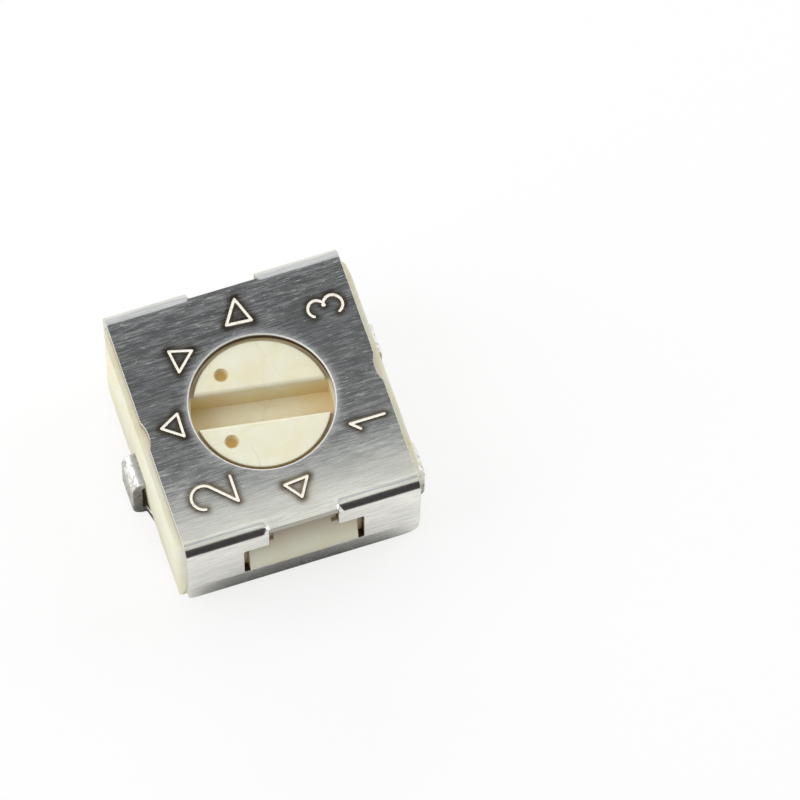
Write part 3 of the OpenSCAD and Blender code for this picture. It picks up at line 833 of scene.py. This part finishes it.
class CoverShape:
    """The cover's blank in millimetres, and the way it is bent. A run is a distance across the folds."""
    STEP, CORNER = 0.045, 0.035  # longest step along an outline, and corner radius of a cut
    FADE, MARGIN = 0.12, 0.8  # run over which a tongue bends away, and its side margin in parts of the blend
    SETBACK_FROM, SETBACK_OVER = 1.4, 0.5  # where the setback starts, and the run over which it grows

    def __init__(self, c):
        self.half_w, self.top, self.sheet = c.width / 2 / MM, c.top / MM, c.sheet / MM
        self.fold, self.window, self.rim = c.fold / MM, c.window / 2 / MM, c.rim / MM
        flat = c.depth / 2 / MM - self.fold
        upright = c.skirt / MM - self.fold
        self.strip = BentStrip((0, self.top), [
            (flat, 0, 0), (0, self.fold, math.pi / 2), (upright, 0, 0), (0, self.sheet, c.crimp_angle),
            (c.crimp / MM, 0, 0)])
        self.fold_start, self.fold_end = flat, flat + self.fold * math.pi / 2
        self.knuckle = self.fold_end + upright
        self.knuckle_end = self.knuckle + self.sheet * c.crimp_angle
        self.slot_w, self.relief_w = c.slot_width / 2 / MM, c.relief / 2 / MM
        self.slot_top = self.knuckle - c.slot_height / MM
        self.blend, self.setback = c.relief_blend / MM, c.setback / MM
        self.roll, self.roll_w = c.roll / MM, c.roll_width / MM
        self.cut_starts = {1: self.fold_start + self.fold * c.back_relief_angle,
                           -1: self.fold_start + self.fold * c.relief_angle}

    def place(self, x, run, depth):
        """Where a point of the blank lies once it is bent, with flat tongues over the reliefs."""
        far = abs(run)
        spot, normal = self.strip.at(far)
        if self.fold_start < far < self.slot_top:
            past = far - self.cut_starts[1 if run > 0 else -1]
            tongue = smooth((self.relief_w - abs(x)) / self.blend + self.MARGIN) * smooth(1 - past / self.FADE)
            spot = spot.lerp(Vector((far, self.top)), tongue)
            normal = normal.lerp(Vector((0, 1)), tongue).normalized()
        spot = spot - depth * normal
        setback = self.setback * smooth((run - self.SETBACK_FROM) / self.SETBACK_OVER)
        return Vector((x, math.copysign(spot.x, run) + setback, spot.y))

    def dip(self, x, run):
        """How far the face dips towards the window."""
        reach = math.hypot(x, run) - self.window
        return self.roll * (1 - reach / self.roll_w) ** 2 if reach < self.roll_w else 0.0

    def loops(self, c):
        """The blank's outline, window and catch slots."""
        half_w, end_w, length_ = self.half_w, self.half_w - c.taper / MM, self.strip.length
        radius, depth = c.notch_radius / MM, c.notch_depth / MM
        span, middle = math.acos((radius - depth) / radius), half_w + radius - depth
        notch = [(middle - radius * math.cos(span * k / 10), radius * math.sin(span * k / 10), 0)
                 for k in range(-10, 11)]
        outline = [(end_w, -length_, 0.27), (half_w, -self.fold_end, 0), *notch, (half_w, self.fold_end, 0),
                   (end_w, length_, 0.2), (-end_w, length_, 0.2), (-half_w, self.fold_end, 0),
                   *((-x, -y, 0) for x, y, _ in notch), (-half_w, -self.fold_end, 0), (-end_w, -length_, 0.13)]
        turns = [math.tau * k / 220 for k in range(220)]
        loops = [rounded_loop(outline, self.STEP),
                 [Vector((self.window * math.cos(-a), self.window * math.sin(-a))) for a in turns]]
        for side, cut_start in self.cut_starts.items():
            half = [(self.relief_w, cut_start), (self.relief_w, self.slot_top), (self.slot_w, self.slot_top),
                    (self.slot_w, self.knuckle)]
            hole = [(-x, y) for x, y in half] + half[::-1]
            loops.append(rounded_loop([(side * x, side * y, self.CORNER) for x, y in hole], self.STEP))
        return loops

    def points(self, loops, lines, line):
        """Points inside the blank, closer together round the laser lines, the window and the folds."""
        around = []
        for one in lines:
            around += around_line(one, line, 0.022) + around_line(one, line - GROOVE_WALL, 0.022)
            around += spaced(one, 0.03) + around_line(one, line + 0.03, 0.04)
        rows = list(np.arange(-self.fold_start, self.fold_start + 0.01, self.fold_start / 36))
        bands = ((self.fold_start, self.fold_end, 16, 16), (self.fold_end, self.knuckle, 14, 14),
                 (self.knuckle, self.knuckle_end, 2, 2), (self.knuckle_end, self.strip.length, 9, 8))
        rows += [side * (low + (high - low) * k / parts)
                 for side in (-1, 1) for low, high, parts, last in bands for k in range(1, last + 1)]
        field = blank_points(-self.half_w, self.half_w, 0.055, rows, loops, 0.03)
        field = field[nearest_line(field, lines) > line + 0.05]
        field = field[np.hypot(*field.T) > self.window + 0.17]
        rows = np.arange(-self.fold_start, self.fold_start, 0.034)
        fine = blank_points(-self.half_w, self.half_w, 0.034, rows, loops, 0.02)
        near = nearest_line(fine, lines)
        fine = fine[(near > line + 0.045) & (near < line + 0.2)]
        ring = [(r * math.cos(math.tau * k / 150), r * math.sin(math.tau * k / 150))
                for r in (self.window + self.rim + step for step in (0.02, 0.05, 0.09, 0.12)) for k in range(150)]
        return np.vstack([field, fine, np.array(around), np.array(ring)])


class TRIMMER_OT_cover(bpy.types.Operator):
    """Build the folded steel cover with its window, catch slots and laser marks"""
    bl_idname = "trimmer.cover"
    bl_label = "Cover"

    def execute(self, context):
        c, marks = context.scene.trimmer_cover, context.scene.trimmer_marks
        shape = CoverShape(c)
        edge, sheet, rim = c.edge / MM, shape.sheet, shape.rim
        loops = shape.loops(c)
        closed, numbers = mark_lines(marks)
        line, groove, reach = marks.line / 2 / MM, marks.groove / MM, marks.heat / MM
        lines = closed + numbers
        made, cut_from = build_sheet("cover_folded", loops, shape.points(loops, lines, line), shape.place,
                                     shape.dip, sheet, [edge, rim, edge, edge])
        mesh = made.data
        blank = np.zeros(len(mesh.vertices) * 3, np.float32)
        mesh.attributes["blank"].data.foreach_get("vector", blank)
        blank = blank.reshape(-1, 3)
        flat = blank[:, :2].astype(float)
        upper = blank[:, 2] < sheet / 2
        sides = [one[k:k + 2] for one in closed for k in range(3)] + numbers
        past = np.maximum(line_distances(flat, sides) - line, 0)
        glow = 1 - np.prod(1 - 0.95 * np.exp(-(past / reach) ** 2), axis=0)
        rubbed = np.exp(-(np.maximum(np.hypot(*flat.T) - shape.window, 0) / 0.1) ** 2)
        bend = np.clip((np.abs(flat[:, 1]) - shape.fold_start) / 0.05, 0, 1)
        for name, value in (("laser_tint", glow * upper), ("burnish", rubbed * upper), ("fold_polish", bend)):
            layer = mesh.attributes.new(name, "FLOAT", "POINT")
            layer.data.foreach_set("value", value.astype(np.float32))
        away = nearest_line(flat, lines)
        sink = np.clip((line - away) / GROOVE_WALL, 0, 1) * groove * (blank[:, 2] == 0)
        spots = np.zeros(len(mesh.vertices) * 3, np.float32)
        mesh.vertices.foreach_get("co", spots)
        spots[2::3] -= (sink * MM).astype(np.float32)
        mesh.vertices.foreach_set("co", spots)
        for one in cover_finishes(context.scene.trimmer_finish):
            mesh.materials.append(one)
        middles = np.array([np.mean([blank[v] for v in p.vertices], axis=0) for p in mesh.polygons])
        engraved = (nearest_line(middles[:, :2].astype(float), lines) < line) & (middles[:, 2] == 0)
        index = np.zeros(len(mesh.polygons), np.int32)
        index[cut_from:] = 1
        index[:cut_from][engraved[:cut_from]] = 2
        # The window's rim takes the finish with the painted highlight.
        index[(np.hypot(middles[:, 0], middles[:, 1]) < shape.window + rim) & (middles[:, 2] < rim * 0.7)] = 3
        mesh.polygons.foreach_set("material_index", index)
        mesh.update()
        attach(made, BASE)
        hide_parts("cover")
        return {"FINISHED"}


class TRIMMER_OT_rotor(bpy.types.Operator):
    """Build the moulded rotor with its screwdriver slot and pointer dimples"""
    bl_idname = "trimmer.rotor"
    bl_label = "Rotor"

    def execute(self, context):
        r = context.scene.trimmer_rotor
        low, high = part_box("rotor")
        low_z, top = low.z / MM, (high.z + r.rise) / MM
        boss, flange, edge = r.boss / MM, r.flange / MM, r.edge / MM
        hub, neck, neck_low, flange_low, flange_top, slot_low = 0.77, 1.16, 1.43, 1.80, 2.32, 1.85
        profile = [(0, low_z), (hub, low_z), (hub, neck_low), (neck, neck_low), (neck, flange_low),
                   (flange - edge, flange_low), (flange, flange_low + edge), (flange, flange_top - edge),
                   (flange - edge, flange_top), (boss + 0.01, flange_top), (boss, flange_top + 0.01)]
        profile += [(boss - edge + x, top - edge + z) for x, z in circle_points(edge, range(0, 91, 15))]
        profile += [(boss - 0.08, top), (0, top)]
        made = turned("rotor_moulded", profile, r.segments)
        lug = circle_points(1.14, range(160, 201, 4)) + circle_points(0.7, range(200, 159, -8))
        cut(made, prism("lug", lug, low_z, neck_low + 0.02), "UNION")
        half, reach = r.slot_width / 2 / MM, r.slot_reach / MM
        turn = math.degrees(math.asin(half / reach))
        end = circle_points(reach, [turn * k / 6 for k in range(-6, 7)])
        cut(made, prism("slot", end + [(-x, -y) for x, y in end], slot_low, top + 0.2))
        flare, long = r.flare / MM, flange + 0.1
        arc = [(half + flare - y, top - flare + z) for y, z in circle_points(flare, range(0, 91, 9))]
        arc = [(half - 0.05, top - flare), *arc, (half + flare, top + 0.1), (half - 0.05, top + 0.1)]
        for side in (-1, 1):
            ends = [(x * MM, side * y * MM, z * MM) for x in (-long, long) for y, z in arc]
            cut(made, plain_object("flare", ends, tube_faces(len(arc))))
        hole = r.dimple / 2 / MM
        bowl = [(0, top - 0.08), (hole * 0.55, top - 0.076), (hole * 0.86, top - 0.055), (hole, top - 0.02),
                (hole, top + 0.1), (0, top + 0.1)]
        rest = Matrix.Rotation(r.rest, 4, "Z")
        dimples = [Vector((-r.dimple_x, side * r.dimple_y, 0)) for side in (-1, 1)]
        for place in dimples:
            tool = turned("dimple", bowl, 40)
            tool.location = place
            cut(made, tool)
        round_edges(made, edge, 48)
        made.data.transform(rest)
        made.data.materials.clear()
        spots = [((rest @ place) / MM)[:2] for place in dimples]
        made.data.materials.append(ivory_plastic("rotor_plastic", context.scene.trimmer_finish, 1.6, 0.3, spots))
        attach(made, ROTOR)
        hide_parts("rotor")
        return {"FINISHED"}


class TRIMMER_OT_housing(bpy.types.Operator):
    """Round the moulded housing's edges and give it its plastic"""
    bl_idname = "trimmer.housing"
    bl_label = "Housing"

    def execute(self, context):
        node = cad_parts["housing"]
        node.data.materials.clear()
        made = add_object("housing_moulded", node.data.copy())
        work = bmesh.new()
        work.from_mesh(made.data)
        bmesh.ops.remove_doubles(work, verts=work.verts, dist=1e-7)
        bmesh.ops.dissolve_limit(work, angle_limit=math.radians(0.8), verts=work.verts, edges=work.edges)
        back_face = 1.9 * MM
        for v in work.verts:
            if v.co.y > back_face:
                v.co.y += context.scene.trimmer_cover.setback
        work.to_mesh(made.data)
        work.free()
        round_edges(made, context.scene.trimmer_housing.edge / MM, 28)
        made.data.materials.append(
            ivory_plastic("housing_plastic", context.scene.trimmer_finish, 1.1, 0.08, pocket_shade=True))
        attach(made, BASE)
        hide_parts("housing")
        return {"FINISHED"}


class TRIMMER_OT_terminals(bpy.types.Operator):
    """Build the three J-hook terminals"""
    bl_idname = "trimmer.terminals"
    bl_label = "Terminals"

    def execute(self, context):
        t = context.scene.trimmer_terminals
        tin = bright_tin(context.scene.trimmer_finish)
        strip, bend, shoulder = t.strip / MM, t.bend / MM, t.shoulder / MM
        end, wiper = (t.end_foot, t.end_leg, t.end_foot_length), (t.wiper_foot, t.wiper_leg, t.wiper_foot_length)
        for number, side, sizes in ((1, 1, end), (2, -1, wiper), (3, 1, end)):
            foot, leg, foot_l = sizes[0] / 2 / MM, sizes[1] / 2 / MM, sizes[2] / MM
            low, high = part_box(f"terminal_{number}")
            middle = (low.y + high.y) / 2 / MM
            inner = min(abs(low.x), abs(high.x)) / MM
            top, wall_run = high.z / MM, HOUSING_HIGH.x / MM - inner
            path = BentStrip((inner, top), [
                (wall_run, 0, 0), (0, bend, math.pi / 2), (top - 2 * bend, 0, 0), (0, bend, math.pi / 2),
                (foot_l, 0, 0)])
            tip = path.length
            heel = tip - foot_l
            half = [(foot, tip, 0.05), (foot, heel + shoulder, 0.05), (leg, heel, 0.03), (leg, 0, 0)]
            loops = [rounded_loop([(-x, y, r) for x, y, r in half] + half[::-1], 0.05)]

            def place(across, run, depth, path=path, middle=middle, side=side):
                spot, normal = path.at(run)
                spot = spot - depth * normal
                return Vector((side * spot.x, middle + across, spot.y))

            rows = list(np.arange(0.05, wall_run, 0.08)) + [wall_run]
            for done, size, _, _, radius in path.parts[1:]:
                steps = 12 if radius else max(3, round(size / 0.06))
                rows += [done + size * k / steps for k in range(1, steps + 1)]
            points = blank_points(-foot, foot, 0.06, [r for r in rows if r < tip - 0.03], loops, 0.035)
            made, _ = build_sheet(f"hook_{number}", loops, points, place, lambda x, run: 0.0, strip, [t.edge / MM])
            made.data.materials.append(tin)
            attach(made, BASE)
            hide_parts(f"terminal_{number}")
        return {"FINISHED"}


class TRIMMER_OT_inside(bpy.types.Operator):
    """Give the sealed inner pieces their finishes"""
    bl_idname = "trimmer.inside"
    bl_label = "Inside"

    def execute(self, context):
        finishes = {
            "o_ring": inner_finish("seal_rubber", (0.45, 0.16, 0.08), 0.6, 0.0, 8.0),
            "wiper": inner_finish("spring_metal", (0.75, 0.6, 0.3), 0.3, 1.0, 6.0),
            "substrate": inner_finish("alumina", (0.88, 0.88, 0.86), 0.6, 0.0, 9.0),
            "resistive_track": inner_finish("cermet_film", (0.06, 0.06, 0.065), 0.5, 0.0, 14.0),
            "collector": inner_finish("conductor_film", (0.72, 0.72, 0.70), 0.45, 1.0, 14.0),
        }
        finishes["end_pad_1"] = finishes["end_pad_3"] = finishes["collector"]
        for name, finish in finishes.items():
            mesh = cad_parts[name].data
            mesh.materials.clear()
            mesh.materials.append(finish)
        return {"FINISHED"}


# Stage

def facing(made, place, way, axis):
    """Puts an object at a place with one of its axes along a direction."""
    made.location = place
    made.rotation_mode = "QUATERNION"
    made.rotation_quaternion = Vector(way).to_track_quat(axis, "Y")


def stage_plane(name, size_x, size_y, place, way):
    """A flat stage piece that faces a direction."""
    x, y = size_x / 2, size_y / 2
    mesh = bpy.data.meshes.new(name)
    mesh.from_pydata([(-x, -y, 0), (x, -y, 0), (x, y, 0), (-x, y, 0)], [], [(0, 1, 2, 3)])
    made = add_object(name, mesh)
    facing(made, place, way, "Z")
    return made


def softbox(name, place, size_x, size_y, radiance, mirrored=True):
    """A soft rectangular lamp whose face has the given radiance, and which mirrors may see."""
    lamp = bpy.data.lights.new(name, "AREA")
    lamp.shape = "RECTANGLE"
    lamp.size, lamp.size_y = size_x, size_y
    lamp.energy = radiance * math.pi * size_x * size_y
    made = add_object(name, lamp)
    aim = Vector((0, 0, 1.5 * MM))
    facing(made, place, aim - Vector(place), "-Z")
    made.visible_camera = False
    made.visible_glossy = mirrored


def glow_card(name, size_x, size_y, place, way, levels):
    """A card that only mirrors see, its glow set by (y, radiance, tone) from front to back, in millimetres."""
    made = stage_plane(name, size_x * MM, size_y * MM, Vector(place) * MM, way)
    made.visible_camera = made.visible_diffuse = made.visible_shadow = False
    made.visible_transmission = made.visible_volume_scatter = False
    glow = bpy.data.materials.new(name)
    tree = bare_tree(glow)
    spot = shader_node(tree, "NewGeometry").outputs["Position"]
    split = shader_node(tree, "SeparateXYZ", {0: spot})
    front, back = levels[0][0] * MM, levels[-1][0] * MM
    along = ranged(tree, split.outputs["Y"], 0, 1, front, back)
    ramp = shader_node(tree, "ValToRGB", {0: along})
    stops = ramp.color_ramp.elements
    for y, level, tone in levels[1:-1]:
        stops.new((y * MM - front) / (back - front)).color = shade(tone, level)
    for stop, (_, level, tone) in ((stops[0], levels[0]), (stops[-1], levels[-1])):
        stop.color = shade(tone, level)
    lit = shader_node(tree, "Emission", {"Color": ramp.outputs[0]})
    shader_node(tree, "OutputMaterial", {0: lit.outputs[0]})
    made.data.materials.append(glow)


def white_floor(colour):
    """A pale floor. The camera sees it whitened, with a soft shadow, and mirrors see it white with a painted
    contact shadow near the object.
    """
    made = bpy.data.materials.new("floor_pale")
    tree = bare_tree(made)
    paint = shader_node(tree, "BsdfDiffuse", {"Color": (*colour, 1)})
    ray = shader_node(tree, "LightPath").outputs
    space = shader_node(tree, "AmbientOcclusion", {"Distance": 2.5 * MM}, samples=8)
    # Painted contact shadow: what mirrors see of the floor darkens where the object is close.
    painted_contact_shadow = eased(tree, space.outputs["AO"], 0.55, 0.70, 0.05, 1.0)
    level = ranged(tree, ray["Is Glossy Ray"], 1.0, painted_contact_shadow)
    warmth = mixed(tree, ray["Is Glossy Ray"], (1, 1, 1, 1), (1.0, 0.985, 0.91, 1))
    glow = shader_node(tree, "Emission", {"Color": warmth, "Strength": level})
    direct = maths(tree, "ADD", ray["Is Camera Ray"], ray["Is Transmission Ray"])
    share = maths(tree, "ADD", ray["Is Glossy Ray"], maths(tree, "MULTIPLY", direct, 0.8), clamp=True)
    mix = shader_node(tree, "MixShader", {0: share, 1: paint.outputs[0], 2: glow.outputs[0]})
    shader_node(tree, "OutputMaterial", {0: mix.outputs[0]})
    return made


def studio_world():
    """White to the camera, even to matt surfaces, and darker in front than behind to mirrors."""
    world = bpy.data.worlds.new("studio")
    tree = bare_tree(world)
    way = shader_node(tree, "TexCoord").outputs["Generated"]
    split = shader_node(tree, "SeparateXYZ", {0: way})
    mirrored = eased(tree, split.outputs["Y"], -0.6, 0.3, 0.05, 0.8)
    ray = shader_node(tree, "LightPath").outputs
    level = ranged(tree, ray["Is Glossy Ray"], 0.36, mirrored)
    sky = shader_node(tree, "Background", {
        "Color": (1, 1, 1, 1), "Strength": ranged(tree, ray["Is Camera Ray"], level, 1.0)})
    shader_node(tree, "OutputWorld", {0: sky.outputs[0]})
    return world


class TRIMMER_OT_stage(bpy.types.Operator):
    """Set up the floor, the soft light and the camera"""
    bl_idname = "trimmer.stage"
    bl_label = "Stage"

    def execute(self, context):
        s = context.scene.trimmer_stage
        floor = stage_plane("floor", 0.8, 0.8, (0, 0, 0), (0, 0, 1))
        floor.data.materials.append(white_floor(s.floor))
        warm, cool, dusk = (1.0, 0.99, 0.88), (0.95, 0.99, 1.0), (1.0, 0.86, 0.92)
        glow_card("card_above", 18, 11, (0, -1.2, 6), (0, 0, 1), (
            (-6.7, 0.9, warm), (-4.0, 0.9, warm), (-3.2, 0.5, cool), (-2.8, 0.5, cool), (-2.2, 0.95, warm),
            (-0.4, 0.93, warm), (0.1, 0.37, cool), (0.6, 0.155, cool), (4.3, 0.105, cool)))
        glow_card("flag_front", 20, 5.2, (0, -6, 2.6), (0, -1, 0), ((-7, 0.06, dusk), (0, 0.06, dusk)))
        context.scene.world = studio_world()
        softbox("lamp_left", (-0.075, 0.01, 0.062), 0.08, 0.10, 2.4)
        softbox("lamp_right", (0.080, 0.02, 0.055), 0.06, 0.10, 2.2)
        softbox("lamp_back", (0.0, 0.095, 0.045), 0.12, 0.05, 2.1, mirrored=False)
        softbox("lamp_front", (0.0, -0.03, 0.075), 0.05, 0.02, 1.0)
        camera = bpy.data.cameras.new("camera")
        camera.lens = s.lens
        camera.sensor_width = 36
        camera.clip_start, camera.clip_end = 0.005, 5
        rig = add_object("camera", camera)
        sin_a, cos_a = math.sin(s.azimuth), math.cos(s.azimuth)
        sin_e, cos_e = math.sin(s.elevation), math.cos(s.elevation)
        back = Vector((sin_a * cos_e, -cos_a * cos_e, sin_e))
        right = Vector((cos_a, sin_a, 0))
        target = Vector((0, 0, CAD_BOX[1].z)) + right * s.aim_right + back.cross(right) * s.aim_up
        facing(rig, target + back * s.distance, -back, "-Z")
        context.scene.camera = rig
        context.scene.view_settings.view_transform = "Standard"
        return {"FINISHED"}


class TRIMMER_PT_panel(bpy.types.Panel):
    """Lists the pieces that can be built"""
    bl_idname = "TRIMMER_PT_panel"
    bl_label = "Trimmer potentiometer"
    bl_space_type = "VIEW_3D"
    bl_region_type = "UI"
    bl_category = "Trimmer"

    def draw(self, context):
        for operator in OPERATORS:
            self.layout.operator(operator.bl_idname, text=operator.bl_label)
        for name in SETTINGS:
            group = getattr(context.scene, name)
            box = self.layout.box()
            box.label(text=group.__doc__)
            for key in group.__annotations__:
                box.prop(group, key)


OPERATORS = (TRIMMER_OT_cover, TRIMMER_OT_housing, TRIMMER_OT_rotor, TRIMMER_OT_terminals, TRIMMER_OT_inside,
             TRIMMER_OT_stage)
SETTINGS = {
    "trimmer_cover": CoverSettings, "trimmer_marks": MarkSettings, "trimmer_rotor": RotorSettings,
    "trimmer_housing": HousingSettings, "trimmer_terminals": TerminalSettings, "trimmer_finish": FinishSettings,
    "trimmer_stage": StageSettings,
}


def register():
    for one in (*SETTINGS.values(), *OPERATORS, TRIMMER_PT_panel):
        bpy.utils.register_class(one)
    for name, group in SETTINGS.items():
        setattr(bpy.types.Scene, name, PointerProperty(type=group))


def unregister():
    for name in SETTINGS:
        delattr(bpy.types.Scene, name)
    for one in reversed((*SETTINGS.values(), *OPERATORS, TRIMMER_PT_panel)):
        bpy.utils.unregister_class(one)


def main():
    register()
    bpy.ops.trimmer.cover()
    bpy.ops.trimmer.housing()
    bpy.ops.trimmer.rotor()
    bpy.ops.trimmer.terminals()
    bpy.ops.trimmer.inside()
    bpy.ops.trimmer.stage()


if __name__ == "__main__":
    main()
